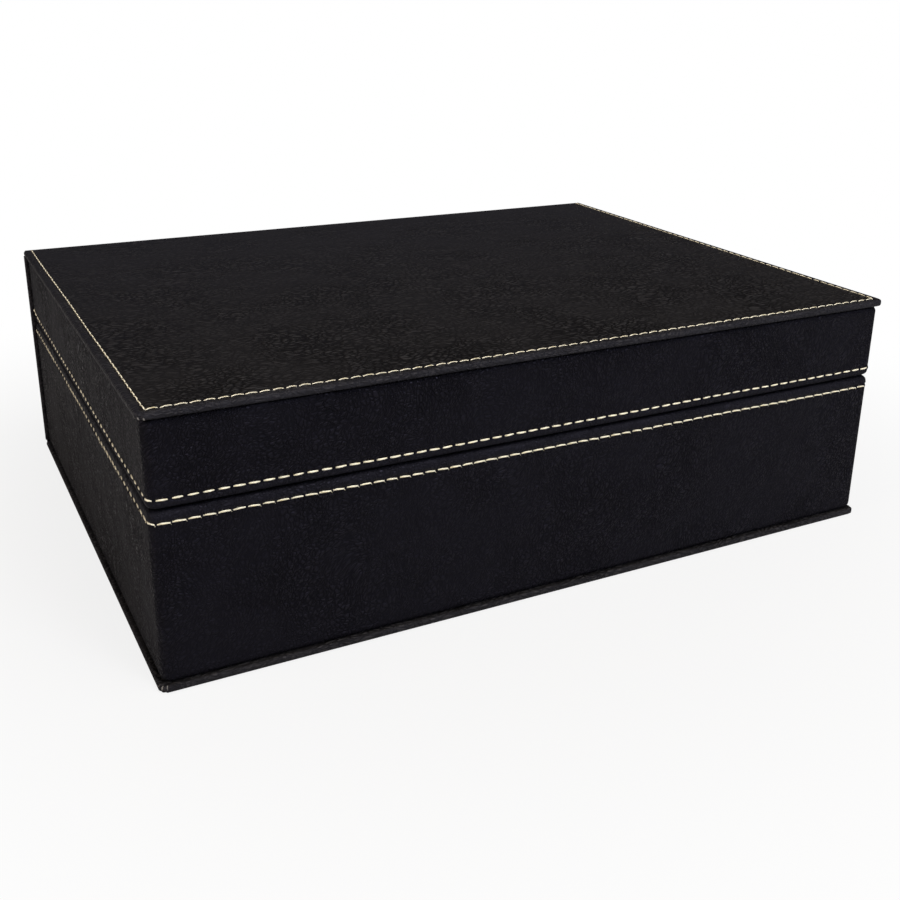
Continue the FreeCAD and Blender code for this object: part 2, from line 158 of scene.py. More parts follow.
class GiftBoxStage(bpy.types.PropertyGroup):
    lens: FloatProperty(name="Lens", description="Focal length in millimetres", default=45.736)
    camera: FloatVectorProperty(
        name="Camera", description="Place of the camera", default=(-0.2082, -0.4300, 0.2159),
        subtype="TRANSLATION", unit="LENGTH")
    turn: FloatVectorProperty(
        name="Turn", description="Turn of the camera",
        default=[math.radians(a) for a in (70.0383, -0.9575, -27.9192)], subtype="EULER")
    shift: FloatVectorProperty(
        name="Shift", description="Lens shift, as a share of the picture", default=(-0.0267, -0.0667), size=2)
    floor: tint("Floor", "Pale studio floor", "cccbc9")
    left: FloatProperty(name="Left lamp", description="Softbox at the left", default=10.5, subtype="POWER")
    above: FloatProperty(name="Top lamp", description="Softbox high in front", default=15.0, subtype="POWER")
    right: FloatProperty(
        name="Right lamp", description="Fill at the front, right", default=18.5, subtype="POWER")


# Modelling by hand, in code

def to_mode(name):
    bpy.ops.object.mode_set(mode=name)


def begin(name, primitive, scale=(1, 1, 1), **settings):
    """Add one primitive with nothing else selected, put its place in its mesh and go into edit mode."""
    bpy.ops.object.select_all(action="DESELECT")
    primitive(**settings)
    piece = bpy.context.object
    piece.name = piece.data.name = name
    piece.scale = scale
    bpy.ops.object.transform_apply(location=True, rotation=True, scale=True)
    to_mode("EDIT")
    return piece


def begin_block(name, low, high):
    return begin(
        name, bpy.ops.mesh.primitive_cube_add, size=1, location=(low + high) / 2, scale=high - low)


def pick(piece, kind, test):
    """Select the points, edges or faces that pass a test, and nothing else."""
    bpy.ops.mesh.select_all(action="DESELECT")
    bpy.ops.mesh.select_mode(type=kind)
    mesh = bmesh.from_edit_mesh(piece.data)
    mesh.normal_update()
    for item in {"VERT": mesh.verts, "EDGE": mesh.edges, "FACE": mesh.faces}[kind]:
        if test(item):
            item.select_set(True)
    bmesh.update_edit_mesh(piece.data)


def at(item, axis, place):
    """Whether every corner of an edge or a face is at one place along an axis."""
    return all(abs(corner.co[axis] - place) < NEAR for corner in item.verts)


def upright(edge):
    first, last = (corner.co for corner in edge.verts)
    return (first.xy - last.xy).length < NEAR


def bevel(offset, segments):
    bpy.ops.mesh.bevel(offset=offset, segments=segments, clamp_overlap=False)


def draw_in(low, high, amount, back=None):
    """Inset the selected face by scaling it, so that rounded corners keep their points apart.
    With back, the side of the face at that Y stays where it is."""
    seed = amount / 100
    bpy.ops.mesh.inset(thickness=seed, use_boundary=False)
    size = high - low
    shares = [(size.x / 2 - amount) / (size.x / 2 - seed), (size.y / 2 - amount) / (size.y / 2 - seed), 1]
    middle = (low + high) / 2
    if back is not None:
        shares[Y] = (size.y - amount) / (size.y - seed)
        middle.y = back
    bpy.ops.transform.resize(value=shares, center_override=middle)


def cut(axis, place, everything=True):
    """Cut the faces, all of them or the selected ones, along a plane across an axis."""
    if everything:
        bpy.ops.mesh.select_all(action="SELECT")
    spot, normal = Vector(), Vector()
    spot[axis] = place
    normal[axis] = 1
    bpy.ops.mesh.bisect(plane_co=spot, plane_no=normal)


def apply_modifier(piece, kind, **settings):
    bpy.ops.object.modifier_add(type=kind)
    modifier = piece.modifiers[-1]
    for name, setting in settings.items():
        setattr(modifier, name, setting)
    bpy.ops.object.modifier_apply(modifier=modifier.name)


def finish_skin(piece, sizes, weighted=True):
    """Leave edit mode, give the sheet its thickness on the inner side and shade it smoothly."""
    to_mode("OBJECT")
    apply_modifier(piece, "SOLIDIFY", thickness=sizes.skin, offset=-1, use_even_offset=True)
    bpy.ops.object.shade_smooth_by_angle(angle=SMOOTH)
    if weighted:
        apply_modifier(piece, "WEIGHTED_NORMAL", keep_sharp=True)
    return piece


def mark(piece, name, share):
    """Write a value for each point into an attribute that the material reads."""
    values = piece.data.attributes.new(name, "FLOAT", "POINT").data
    for index, point in enumerate(piece.data.vertices):
        values[index].value = share(point)


def round_walls(spot, low, high, corner):
    """How far a place on a tray's outer walls is along them, from the left end of the front, and the
    direction that the wall faces there."""
    inset = Vector((corner, corner, 0))
    first, last = low + inset, high - inset
    inner = Vector((min(max(spot.x, first.x), last.x), min(max(spot.y, first.y), last.y)))
    out = (spot.xy - inner).normalized()
    turn = round(math.atan2(out.x, -out.y) / (math.pi / 2), 4) % 4
    runs = (inner.x - first.x, inner.y - first.y, last.x - inner.x, last.y - inner.y)
    side = int(turn)
    passed = sum(((last - first)[number % 2] for number in range(side)))
    return passed + runs[side] + turn * corner * math.pi / 2, out


def round_trip(node, corner):
    """The way round a tray's walls."""
    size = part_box(node)[1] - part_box(node)[0]
    return 2 * (size.x + size.y - 4 * corner) + 2 * math.pi * corner


def dress(piece, material):
    piece.data.materials.clear()
    piece.data.materials.append(material)


def seat(piece, material, body, slot, *nodes):
    """The piece takes the place of CAD nodes and rides on their body."""
    dress(piece, material)
    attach(piece, body)
    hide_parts(*nodes)


# Materials

def add(tree, kind, inputs=None, **settings):
    """Add a shader node with its settings; inputs takes numbers, or the outputs of other nodes."""
    made = tree.nodes.new("ShaderNode" + kind)
    for name, setting in settings.items():
        setattr(made, name, setting)
    for socket, source in (inputs or {}).items():
        if isinstance(source, bpy.types.NodeSocket):
            tree.links.new(source, made.inputs[socket])
        else:
            made.inputs[socket].default_value = source
    return made


def new_material(name):
    """An empty material, its node tree and the Object coordinates of its pieces."""
    material = bpy.data.materials.get(name) or bpy.data.materials.new(name)
    material.use_nodes = True
    tree = material.node_tree
    tree.nodes.clear()
    return material, tree, add(tree, "TexCoord").outputs["Object"]


def mottle(tree, where, scale, detail=2.0):
    """Soft random spots, with scale as how many there are to the unit."""
    return add(tree, "TexNoise", {"Vector": where, "Scale": scale, "Detail": detail}).outputs["Fac"]


def ramp(tree, value, inputs, **settings):
    """A value moved to another range; both ranges are 0 to 1 where the inputs don't say."""
    return add(tree, "MapRange", {"Value": value, **inputs}, **settings).outputs[0]


def maths(tree, operation, *values):
    return add(tree, "Math", dict(enumerate(values)), operation=operation).outputs[0]


def mix(tree, share, first, second):
    return add(tree, "MixRGB", {"Fac": share, "Color1": first, "Color2": second}).outputs[0]


def surface(tree, inputs):
    """The shader of a solid face, joined to the material's output."""
    shader = add(tree, "BsdfPrincipled", inputs)
    add(tree, "OutputMaterial", {"Surface": shader.outputs[0]})


def leatherette(name, sizes, black, sheen, along, lean, coarse):
    """Black leatherette, PVC embossed and rolled out on a cloth backing: fine wrinkles that swirl about one
    direction, with a low gloss on their crowns and painted shade in the lines between them, pressed deep
    in some places and nearly smooth in others. Drawn tight over an edge it is smoother, with a painted
    highlight."""
    material, tree, where = new_material(name)
    swirl = add(tree, "TexNoise", {"Vector": where, "Scale": 1 / sizes.swirl, "Detail": 1.0}).outputs["Color"]
    reach = [sizes.swirl * 0.55] * 3
    drawn = add(tree, "VectorMath", {0: swirl, 1: reach, 2: where}, operation="MULTIPLY_ADD").outputs[0]
    scale = [1 / (sizes.grain_width * coarse)] * 3
    scale[along] = 1 / (sizes.grain_length * coarse)
    turned = add(tree, "Mapping", {"Vector": drawn, "Rotation": lean}).outputs[0]
    laid = add(tree, "Mapping", {"Vector": turned, "Scale": scale}).outputs[0]
    stray = add(tree, "TexNoise", {"Vector": laid, "Scale": 0.4, "Detail": 2.0}).outputs["Color"]
    bent = add(tree, "VectorMath", {0: stray, 1: [2.2] * 3, 2: laid}, operation="MULTIPLY_ADD").outputs[0]
    cells = add(tree, "TexVoronoi", {"Vector": bent, "Scale": 1.0}, feature="DISTANCE_TO_EDGE")
    crown = ramp(tree, cells.outputs["Distance"], {"From Max": 0.32}, interpolation_type="SMOOTHSTEP")
    streak = mottle(tree, laid, 1.2, 1.5)
    # The roll was pressed harder in some places than in others, about 30 mm apart.
    pressed = ramp(tree, mottle(tree, where, 33.0), {"From Min": 0.4, "From Max": 0.62, "To Min": 0.45})
    # Wrinkles gather in bunches of four, which is what shows of them at a low angle.
    bunch = ramp(tree, mottle(tree, laid, 0.25), {"From Min": 0.35, "From Max": 0.65})
    height = maths(tree, "MULTIPLY_ADD", streak, 0.2, crown)
    height = maths(tree, "MULTIPLY_ADD", bunch, 1.4, height)
    height = maths(tree, "MULTIPLY", height, pressed)
    # This mask is real stretch for the bump and the gloss, and a painted highlight for the colour.
    tight = add(tree, "Attribute", attribute_name="stretch").outputs["Fac"]
    depth = ramp(tree, tight, {"To Min": 1.0, "To Max": 0.4})
    distance = GRAIN_DEPTH * coarse * coarse
    bump = add(tree, "Bump", {"Height": height, "Strength": depth, "Distance": distance}).outputs[0]
    # Painted shade and light: creases are painted dark, and crowns lighter where wrinkles bunch and the roll
    # was pressed deep; smooth places take an even dark tone.
    lit = maths(tree, "MULTIPLY", crown, ramp(tree, bunch, {"To Min": 0.5}))
    lit = ramp(tree, pressed, {"To Min": 0.36, "To Max": lit})
    face = mix(tree, lit, sizes.crease, black)
    # Painted highlight: tight leatherette is painted greyer.
    face = mix(tree, tight, face, sizes.tight_highlight)
    worn = add(tree, "Attribute", attribute_name="wear").outputs["Fac"]
    rubbed = ramp(tree, maths(tree, "MULTIPLY", worn, streak), {"From Min": 0.3, "From Max": 0.6})
    face = mix(tree, rubbed, face, sizes.scuff)
    gloss = ramp(tree, lit, {"To Min": 0.75, "To Max": 0.3})
    gloss = ramp(tree, tight, {"To Min": gloss, "To Max": 0.45})
    surface(tree, {
        "Base Color": face, "Roughness": gloss, "Normal": bump,
        "IOR": 1.45, "Specular IOR Level": 0.16, "Specular Tint": sheen})
    return material


def board_leatherette(sizes):
    """The leatherette of the case, with wrinkles that run along the boards."""
    # Painted light: the boards' copy has lighter crowns and a warmer reflection tint than the trays'.
    return leatherette(
        "leatherette on the boards", sizes, sizes.board_black_painted_lighter, sizes.board_sheen,
        along=X, lean=(0, 0, 0.12), coarse=BOARD_GRAIN)


def waxed_thread(sizes):
    """Waxed polyester thread, three plies twisted together: cream crowns, with painted shade in the lines
    between plies.
    """
    material, tree, where = new_material("waxed polyester thread")
    wound = add(tree, "UVMap", uv_map="UVMap").outputs[0]
    laid = add(tree, "Mapping", {"Vector": wound, "Scale": (3.0, 5.0, 1.0)}).outputs[0]
    ply = add(
        tree, "TexWave", {"Vector": laid, "Scale": 0.45, "Distortion": 0.6},
        bands_direction="DIAGONAL").outputs["Fac"]
    uneven = mottle(tree, where, 380.0)
    crown = ramp(tree, maths(tree, "ADD", ply, uneven), {"From Min": 0.2, "From Max": 0.75})
    bump = add(tree, "Bump", {"Height": ply, "Strength": 0.5, "Distance": 0.0001}).outputs[0]
    surface(tree, {
        "Base Color": mix(tree, crown, sizes.shade, sizes.cream), "Normal": bump, "Roughness": 0.5,
        "IOR": 1.5, "Sheen Weight": 0.1})
    return material


def satin(sizes):
    """Black polyester satin: long floats of thread give a soft streaked sheen across a smooth face."""
    material, tree, where = new_material("polyester satin")
    # Threads are 0.2 mm apart, drawn 0.5 mm apart so that they show.
    laid = add(tree, "Mapping", {"Vector": where, "Scale": (180.0, 2000.0, 2000.0)}).outputs[0]
    floats = mottle(tree, laid, 1.0)
    mixed = maths(tree, "MULTIPLY", floats, mottle(tree, where, 24.0))
    mixed = ramp(tree, mixed, {"From Min": 0.1, "From Max": 0.6})
    bump = add(tree, "Bump", {"Height": floats, "Strength": 0.25, "Distance": 0.0001}).outputs[0]
    surface(tree, {
        "Base Color": mix(tree, mixed, sizes.black, sizes.sheen), "Normal": bump,
        "Roughness": ramp(tree, floats, {"To Min": 0.3, "To Max": 0.48}), "IOR": 1.52,
        "Sheen Weight": 0.25, "Sheen Roughness": 0.3})
    return material


def pressed_board(name, light, dark, fibre, roughness):
    """Board pressed from pulp or fibre: matt, mottled, with short fibres lying all ways in its face."""
    material, tree, where = new_material(name)
    flecks = add(tree, "TexNoise", {"Vector": where, "Scale": 1 / fibre, "Detail": 4.0, "Distortion": 1.2})
    flecks = flecks.outputs["Fac"]
    mixed = maths(tree, "MULTIPLY", flecks, mottle(tree, where, 60.0))
    mixed = ramp(tree, mixed, {"From Min": 0.12, "From Max": 0.4})
    bump = add(tree, "Bump", {"Height": flecks, "Strength": 0.3, "Distance": 0.0001}).outputs[0]
    surface(tree, {
        "Base Color": mix(tree, mixed, colour(dark), colour(light)), "Normal": bump,
        "Roughness": roughness, "Specular IOR Level": 0.3})
    return material


def plated_magnet():
    """Ferrite bar plated with nickel: bright warm grey with a fine tumbled haze."""
    material, tree, where = new_material("nickel plate")
    haze = mottle(tree, where, 900.0, 3.0)
    surface(tree, {
        "Base Color": mix(tree, haze, colour("a8a39a"), colour("cbc6bd")), "Metallic": 1.0,
        "Roughness": ramp(tree, haze, {"To Min": 0.2, "To Max": 0.42})})
    return material


# Pieces

class GIFTBOX_OT_board_covers(bpy.types.Operator):
    """Cover the top and bottom boards: outer face, rounded edges and turn-ins, with pleated corners"""
    bl_idname = "giftbox.board_covers"
    bl_label = "Board covers"
    PLEATS = 3
    PLEAT_HEIGHT = 0.00014
    PLEAT_REACH = 1.6  # how far the pleats come beside a corner, in corner roundings
    WEAR = {-1: 1.5, 1: 0.8}  # rubbing of the left and the right corners
    # The tightness below also paints a highlight into the colour of the leatherette.
    STITCHED_TIGHT = 0.65  # how tight the leatherette is drawn over the edges of the top,
    PLAIN_TIGHT = 0.35  # over the edges of the bottom,
    STRIP_TIGHT = 0.52  # and between the edges of the top and its row of stitches

    def cover(self, name, node, sizes, thread, outer, stitched):
        low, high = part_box(node)
        outside, inside = (high.z, low.z) if outer > 0 else (low.z, high.z)
        piece = begin_block(name, low, high)
        pick(piece, "EDGE", lambda edge: upright(edge) and at(edge, Y, low.y))
        bevel(sizes.board_corner, 24)
        pick(piece, "EDGE", lambda edge: not upright(edge) and not at(edge, Y, high.y))
        bevel(sizes.nose, 6)
        pick(piece, "FACE", lambda face: at(face, Y, high.y))
        bpy.ops.mesh.delete(type="FACE")

        # The inner face is open between the turn-ins.
        flat_low = low + Vector((sizes.nose, sizes.nose, 0))
        flat_high = high - Vector((sizes.nose, 0, 0))
        pick(piece, "FACE", lambda face: at(face, Z, inside))
        draw_in(flat_low, flat_high, sizes.turn_in - sizes.nose, back=high.y)
        bpy.ops.mesh.delete(type="FACE")

        if stitched:
            start = thread.top_seam - thread.channel_width / 2 - sizes.nose
            step = thread.channel_width / (len(CHANNEL) - 1)
            gone = 0
            level = outside
            for number, share in enumerate(CHANNEL):
                pick(piece, "FACE", lambda face: at(face, Z, level))
                amount = start + number * step - gone
                inset = Vector((gone, gone, 0))
                draw_in(flat_low + inset, flat_high - Vector((gone, 0, 0)), amount, back=high.y)
                drop = outside - outer * share * thread.channel_depth - level
                bpy.ops.transform.translate(value=(0, 0, drop))
                level += drop
                gone += amount
        self.pleat(piece, low, high, inside, sizes)
        finish_skin(piece, sizes)
        edge = thread.top_seam - thread.channel_width / 2 + NEAR if stitched else 0
        tightest = self.STITCHED_TIGHT if stitched else self.PLAIN_TIGHT

        def tight(point):
            margin = min(point.co.x - low.x, high.x - point.co.x, point.co.y - low.y)
            return max(min(tightest, 2 - 2 * abs(point.normal.z)), self.STRIP_TIGHT if margin < edge else 0)

        mark(piece, "stretch", tight)
        return piece

    def pleat(self, piece, low, high, inside, sizes):
        """Draw the leatherette into small pleats round the free corners, and rub them near the turn-in."""
        beside = sizes.board_corner * self.PLEAT_REACH
        for axis, place in ((X, low.x + beside), (X, high.x - beside), (Y, low.y + beside)):
            cut(axis, place)
        to_mode("OBJECT")
        wear = piece.data.attributes.new("wear", "FLOAT", "POINT")
        for index, point in enumerate(piece.data.vertices):
            side = -1 if point.co.x < 0 else 1
            corner = Vector((side * (high.x - sizes.board_corner), low.y + sizes.board_corner))
            out = point.co.xy - corner
            if out.x * side < 0 or out.y > 0 or out.length < sizes.board_corner - sizes.nose:
                continue
            angle = math.atan2(-out.y, out.x * side)
            wave = math.sin(angle * self.PLEATS * 4 + side)
            share = min(1, 3 * min(angle, math.pi / 2 - angle))
            point.co.xy += out.normalized() * share * wave * self.PLEAT_HEIGHT
            near = min(1, max(0, 1.7 - abs(point.co.z - inside) / sizes.nose))
            wear.data[index].value = share * max(0, wave) * near * self.WEAR[side]
        to_mode("EDIT")

    def execute(self, context):
        sizes, thread = context.scene.giftbox_leatherette, context.scene.giftbox_thread
        finish = board_leatherette(sizes)
        for name, node, body, outer in (
                ("top_leather", "top_cover", "lid", 1), ("bottom_leather", "bottom_cover", "base", -1)):
            piece = self.cover(name, node, sizes, thread, outer, stitched=outer > 0)
            seat(piece, finish, body, "leatherette", node)
        return {"FINISHED"}


class GIFTBOX_OT_spine(bpy.types.Operator):
    """Cover the spine, and lay the two creases that join it to the boards"""
    bl_idname = "giftbox.spine"
    bl_label = "Spine and creases"
    # The tightness below also paints a highlight into the colour of the leatherette.
    EDGE_TIGHT = 0.8  # how tight the leatherette is drawn over the ends of the spine,
    FOLD_TIGHT = 0.6  # and over the creases

    def cover(self, sizes):
        low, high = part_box("spine_cover")
        piece = begin_block("spine_leather", low, high)
        pick(piece, "EDGE", upright)
        bevel(sizes.nose, 6)
        pick(piece, "FACE", lambda face: at(face, Z, low.z) or at(face, Z, high.z))
        bpy.ops.mesh.delete(type="FACE")
        for side in (-1, 1):
            pick(piece, "FACE", lambda face: at(face, Y, low.y))
            cut(X, side * (high.x - sizes.turn_in), everything=False)
        pick(piece, "FACE", lambda face: at(face, Y, low.y) and abs(face.calc_center_median().x) < NEAR)
        bpy.ops.mesh.delete(type="FACE")
        finish_skin(piece, sizes)
        mark(piece, "stretch", lambda point: min(self.EDGE_TIGHT, 2 - 2 * abs(point.normal.y)))
        return piece

    def crease(self, name, node, board, sizes):
        """A strip from the edge of a board, round a quarter turn, to the edge of the spine, with its two
        ends rounded over as the boards' edges are."""
        low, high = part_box(node)
        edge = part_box(board)[1].y
        upper = low.z > CAD_BOX[1].z / 2
        flat = high.z if upper else low.z
        pivot = Vector((0, low.y, low.z if upper else high.z))
        piece = begin(
            name, bpy.ops.mesh.primitive_plane_add, size=1,
            location=(0, (edge + low.y) / 2, flat), scale=(high.x - low.x, low.y - edge, 1))
        pick(piece, "EDGE", lambda item: at(item, Y, low.y))
        bpy.ops.mesh.spin(
            steps=10, angle=math.pi / 2 * (1 if upper else -1), center=pivot, axis=(1, 0, 0))
        bpy.ops.mesh.select_all(action="SELECT")
        bpy.ops.mesh.remove_doubles(threshold=NEAR)
        bpy.ops.mesh.normals_make_consistent(inside=False)
        outward = sum(face.normal.z for face in bmesh.from_edit_mesh(piece.data).faces)
        if (outward > 0) != upper:
            bpy.ops.mesh.flip_normals()
        insets = [sizes.nose * (1 - math.cos(math.radians(step))) for step in (22.5, 45, 67.5, 90)]
        for inset in insets + [sizes.turn_in]:
            cut(X, low.x + inset)
            cut(X, high.x - inset)
        to_mode("OBJECT")
        for point in piece.data.vertices:
            end = max(0, 1 - (high.x - abs(point.co.x)) / sizes.nose)
            point.co -= point.normal * sizes.nose * (1 - math.sqrt(1 - min(1, end) ** 2))
        to_mode("EDIT")
        finish_skin(piece, sizes, weighted=False)
        mark(piece, "stretch", lambda point: self.FOLD_TIGHT)
        return piece

    def execute(self, context):
        sizes = context.scene.giftbox_leatherette
        finish = board_leatherette(sizes)
        piece = self.cover(sizes)
        seat(piece, finish, "spine", "leatherette", "spine_cover")
        for name, node, board, first, second in (
                ("lower_fold", "lower_crease", "bottom_cover", "base", "spine"),
                ("upper_fold", "upper_crease", "top_cover", "spine", "lid")):
            strip = self.crease(name, node, board, sizes)
            dress(strip, finish)
            if first == "base":
                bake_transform(strip)
            else:
                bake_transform(strip)
            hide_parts(node)
        return {"FINISHED"}


class GIFTBOX_OT_tray_wraps(bpy.types.Operator):
    """Wrap the trays: under the foot, up the outside, over the rim and down inside"""
    bl_idname = "giftbox.tray_wraps"
    bl_label = "Tray wraps"
    SWELL = 0.00012  # how far the hem between seam and rim stands out
    TUCK_STEP = 0.0006  # between points along a channel
    PUFF = 0.00032  # how far the bridge between two stitches stands out
    RIM_EASE = 0.0003  # how much wider the gap at the parting line shows, on each side
    # The tightness below also paints a highlight into the colour of the hem.
    HEM_TIGHT = 0.22  # how tight the leatherette is drawn between seam and rim

    def wrap(self, name, node, sizes, thread, seam, rim_up, pitch, bridge):
        low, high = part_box(node)
        if rim_up:
            high.z -= self.RIM_EASE
        else:
            low.z += self.RIM_EASE
        rim, foot, up = (high.z, low.z, 1) if rim_up else (low.z, high.z, -1)
        piece = begin_block(name, low, high)
        pick(piece, "EDGE", upright)
        bevel(sizes.tray_corner, 8)
        pick(piece, "FACE", lambda face: at(face, Z, foot))
        draw_in(low, high, sizes.hem)
        bpy.ops.mesh.delete(type="FACE")
        pick(piece, "FACE", lambda face: at(face, Z, rim))
        draw_in(low, high, sizes.hem)
        bpy.ops.mesh.extrude_region_move(TRANSFORM_OT_translate={"value": (0, 0, -up * sizes.rim_turn)})
        bpy.ops.mesh.delete(type="FACE")
        for level, size in ((rim, sizes.rim_round), (foot, sizes.foot_round)):
            pick(piece, "EDGE", lambda edge: at(edge, Z, level) and any(
                abs(face.normal.z) < UPRIGHT for face in edge.link_faces))
            bevel(size, 5)

        middle = rim - up * (seam - self.RIM_EASE)
        start = middle - thread.channel_width / 2
        step = thread.channel_width / (len(CHANNEL) - 1)
        channel = {start + number * step: share for number, share in enumerate(CHANNEL)}
        hem = rim - up * (seam - thread.channel_width / 2 + sizes.rim_round) / 2
        half = sizes.hem / 2

        def outer(item):
            corners = [corner.co for corner in item.verts]
            return all(
                abs(co.x) > high.x - half or co.y > high.y - half or co.y < low.y + half for co in corners)

        def in_channel(edge, axis):
            """Whether an edge in the channel runs along an axis, clear of the corners."""
            along = not at(edge, axis, edge.verts[0].co[axis])
            level = any(at(edge, Z, height) for height in channel)
            return along and level and edge.calc_length() > sizes.tray_corner and outer(edge)

        for height in list(channel) + [hem]:
            pick(piece, "FACE", lambda face: abs(face.normal.z) < UPRIGHT and outer(face))
            cut(Z, height, everything=False)
        pick(piece, "EDGE", lambda edge: at(edge, Z, hem) and outer(edge))
        bpy.ops.transform.shrink_fatten(value=self.SWELL)
        for axis in (X, Y):
            parts = (high - low)[axis] / self.TUCK_STEP
            for cuts in (4, round(parts / 5) - 1):
                pick(piece, "EDGE", lambda edge: in_channel(edge, axis))
                bpy.ops.mesh.subdivide(number_cuts=cuts)
        self.tuck(piece, low, high, channel, sizes, thread, pitch, bridge)
        finish_skin(piece, sizes)
        mark(piece, "stretch", lambda point: self.HEM_TIGHT if up * (point.co.z - middle) > 0 else 0.0)
        return piece

    def tuck(self, piece, low, high, channel, sizes, thread, pitch, bridge):
        """Draw the leatherette in under every stitch, and leave it standing between them."""
        to_mode("OBJECT")
        half = sizes.hem / 2
        for point in piece.data.vertices:
            shares = [share for height, share in channel.items() if abs(point.co.z - height) < NEAR]
            share = max(shares, default=0)
            inside = all(low[axis] + half < point.co[axis] < high[axis] - half for axis in (X, Y))
            if share and not inside:
                along, out = round_walls(point.co, low, high, sizes.tray_corner)
                phase = along / pitch - FIRST_STITCH - 0.5
                away = abs(phase - round(phase)) * pitch / (bridge / 2)
                sunk = 0.5 - 0.5 * math.cos(math.pi * min(1, away))
                point.co.xy += out * share * (self.PUFF - sunk * (self.PUFF + thread.channel_depth))
        to_mode("EDIT")

    def execute(self, context):
        sizes, thread = context.scene.giftbox_leatherette, context.scene.giftbox_thread
        # Painted shade: the trays' copy has a darker blue black and a cool reflection tint.
        finish = leatherette(
            "leatherette on the trays", sizes, sizes.black, sizes.sheen,
            along=Z, lean=(-0.6, -0.6, 0), coarse=1)
        for name, body, seam, rim_up, count, bridge in (
                ("base_leather", "base", thread.base_seam, True, thread.base_count, thread.base_bridge),
                ("lid_leather", "lid", thread.lid_seam, False, thread.lid_count, thread.lid_bridge)):
            node = body + "_wrap"
            pitch = round_trip(node, sizes.tray_corner) / count
            piece = self.wrap(name, node, sizes, thread, seam, rim_up, pitch, bridge)
            seat(piece, finish, body, "leatherette", node)
        return {"FINISHED"}


class GIFTBOX_OT_stitches(bpy.types.Operator):
    """Sew a row round each tray and a row along three edges of the top"""
    bl_idname = "giftbox.stitches"
    bl_label = "Stitches"

    # A stitch from end to end: share of its length, then its distance aside, its height over the bottom
    # of the channel and its girth, each as a share of the thread's thickness.
    STRAIGHT = (
        (-0.5, 0, -0.9, 0.55), (-0.43, 0, -0.08, 0.9), (-0.2, 0, 0.17, 1), (0.1, 0, 0.19, 1),
        (0.43, 0, -0.08, 0.9), (0.5, 0, -0.9, 0.55))
    HOOKED = (
        (-0.5, 0.1, -0.8, 0.55), (-0.43, 0.1, -0.08, 0.9), (-0.1, -0.05, 0.17, 1), (0.3, -0.1, 0.19, 1),
        (0.44, 0.1, 0.2, 0.75), (0.5, 0.8, 0.6, 0.4))
    ARCHED = (
        (-0.55, 0.14, -0.46, 0.4), (-0.42, 0.11, 0.29, 0.53), (-0.15, 0, 0.65, 0.6), (0.2, -0.06, 0.65, 0.6),
        (0.42, -0.06, 0.32, 0.53), (0.53, 0, -0.46, 0.4))
    BASE_SHARE = 0.95  # length of a stitch of the base, as a share of the pitch,
    LID_SHARE = 0.86  # and of the lid
    STRETCH = 0.07  # the most by which a stitch is longer or shorter,
    TILT = 0.05  # leans
    LIFT = 0.00006  # or stands out
    STRAY = 0.0003  # the most by which a row strays from its line,
    STRAYS = 16  # so many times to the metre
    CLIMB_RUN = 0.022  # how far before the rear a row begins to climb

    def stitch(self, long, thick, shape):
        """One stitch along X on a face that looks along Z."""
        piece = begin(
            "one_stitch", bpy.ops.mesh.primitive_cylinder_add, vertices=6, radius=thick / 2, depth=long,
            end_fill_type="TRIFAN", rotation=(0, math.pi / 2, 0))
        pick(piece, "EDGE", lambda edge: abs(edge.verts[0].co.x - edge.verts[1].co.x) > long / 2)
        bpy.ops.mesh.subdivide(number_cuts=len(shape) - 2)
        for number, (share, aside, height, girth) in enumerate(shape):
            place = (number / (len(shape) - 1) - 0.5) * long
            pick(piece, "VERT", lambda point: abs(point.co.x - place) < long / 100)
            bpy.ops.transform.resize(value=(1, girth, girth), center_override=(place, 0, 0))
            bpy.ops.transform.translate(value=(share * long - place, aside * thick, height * thick))
        to_mode("OBJECT")
        bpy.ops.object.shade_smooth()
        return piece

    def sew(self, name, stitch, spots, path, chance):
        """Copy the stitch to every spot of a path, each a little different, and join the copies."""
        context = bpy.context
        bpy.ops.object.select_all(action="DESELECT")
        for spot in spots:
            copy = stitch.copy()
            copy.data = stitch.data.copy()
            stretch = 1 + chance.uniform(-self.STRETCH, self.STRETCH)
            tilt = chance.uniform(-self.TILT, self.TILT)
            lift = chance.uniform(-self.LIFT, self.LIFT)
            for point in copy.data.vertices:
                along = point.co.x * stretch
                point.co = path(spot + along, point.co.y + along * tilt, point.co.z + lift)
            context.collection.objects.link(copy)
            copy.select_set(True)
            context.view_layer.objects.active = copy
        bpy.ops.object.join()
        row = context.object
        row.name = row.data.name = name
        bpy.data.objects.remove(stitch)
        return row

    def wander(self, along, row):
        """How far the hand that fed the needle strayed from the line."""
        return self.STRAY * noise.noise((along * self.STRAYS, row, 0))

    def round_tray(self, node, corner, depth, level, climb):
        """The path of a row round a tray, from the left end of the front: along, down and out of the face.
        The row climbs towards the left end of the rear, where its two ends were sewn over each other."""
        low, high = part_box(node)
        bend = corner * math.pi / 2
        runs = [high.x - low.x - 2 * corner, bend, high.y - low.y - 2 * corner, bend] * 2

        def path(along, aside, lift):
            left = along % sum(runs)
            spot = Vector((low.x + corner, low.y))
            heading = 0.0
            for number, run in enumerate(runs):
                ahead = Vector((math.cos(heading), math.sin(heading)))
                inward = Vector((-ahead.y, ahead.x))
                turning = number % 2
                if left <= run or number == len(runs) - 1:
                    break
                left -= run
                if turning:
                    spot += (ahead + inward) * corner
                    heading += math.pi / 2
                else:
                    spot += ahead * run
            if turning:
                out = Matrix.Rotation(left / corner, 2) @ -inward
                spot += (inward + out) * corner
            else:
                out = -inward
                spot += ahead * left
            rear = max(0, 1 - (high.y - spot.y) / self.CLIMB_RUN) * (high.x - spot.x) / (high.x - low.x)
            spot += out * (lift - depth * (1 - rear))
            drop = aside - self.wander(along, level) - climb * rear * rear
            return Vector((spot.x, spot.y, level - drop))

        return path

